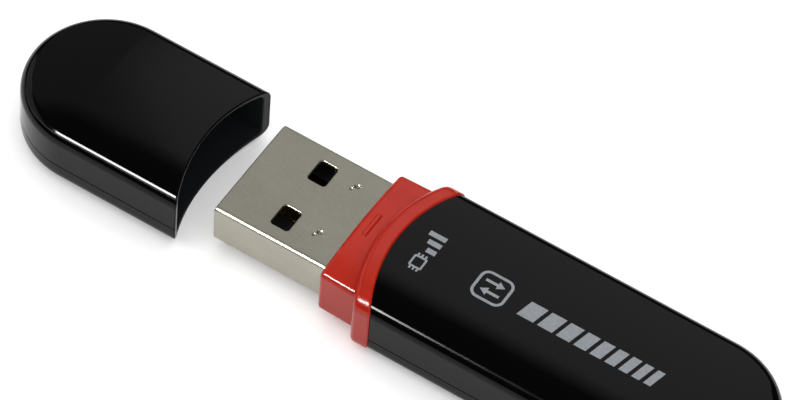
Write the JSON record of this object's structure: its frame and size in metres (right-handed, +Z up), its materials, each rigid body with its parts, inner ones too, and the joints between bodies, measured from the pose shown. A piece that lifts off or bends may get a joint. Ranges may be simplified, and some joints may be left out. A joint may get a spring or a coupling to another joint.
{
  "type": "usb flash drive",
  "caption": "Capped USB type A flash drive: round-ended glossy black body and cap, a red collar between them and an exposed metal plug.",
  "frame": {"origin": "bottom centre of the drive and its cap as they lie in line, cap pulled off, on the plane that they rest on", "axes": "+X along the drive from the cap and the plug's tip towards the tail, +Y across it, +Z up through its thickness, with the printed face up"},
  "size_m": [0.0796, 0.0166, 0.0078],
  "materials": {
    "black_shell": "high gloss moulded plastic",
    "red_collar": "glossy moulded plastic",
    "nickel_shell": "satin nickel-plated sheet",
    "black_insulator": "satin moulded plastic",
    "gold_contact": "gold plated, bright",
    "board_laminate": "solder-mask laminate",
    "chip_resin": "moulded chip resin",
    "tinned_lead": "tin plated",
    "ceramic": "sintered ceramic",
    "crystal_metal": "plated steel lid",
    "solder": "reflowed solder"
  },
  "bodies": {
    "drive": {"body_upper_shell": "black_shell", "body_lower_shell": "black_shell", "collar": "red_collar", "plug_shell": "nickel_shell", "plug_tongue": "black_insulator", "contact_power": "gold_contact", "contact_data_minus": "gold_contact", "contact_data_plus": "gold_contact", "contact_ground": "gold_contact", "circuit_board": "board_laminate", "controller_chip": "chip_resin", "controller_leads": "tinned_lead", "memory_chip": "chip_resin", "memory_leads": "tinned_lead", "crystal_base": "ceramic", "crystal_can": "crystal_metal", "voltage_regulator": "chip_resin", "regulator_leads": "tinned_lead", "ceramic_capacitors": "ceramic", "chip_resistors": "chip_resin", "contact_solder_joints": "solder", "plug_solder_joints": "solder"},
    "cap": {"cap_upper_shell": "black_shell", "cap_lower_shell": "black_shell"}
  },
  "joints": [
    {"name": "cap_slide", "type": "slide", "parent": "drive", "child": "cap", "axis": [1, 0, 0], "range_m": [0, 0.01895]}
  ]
}
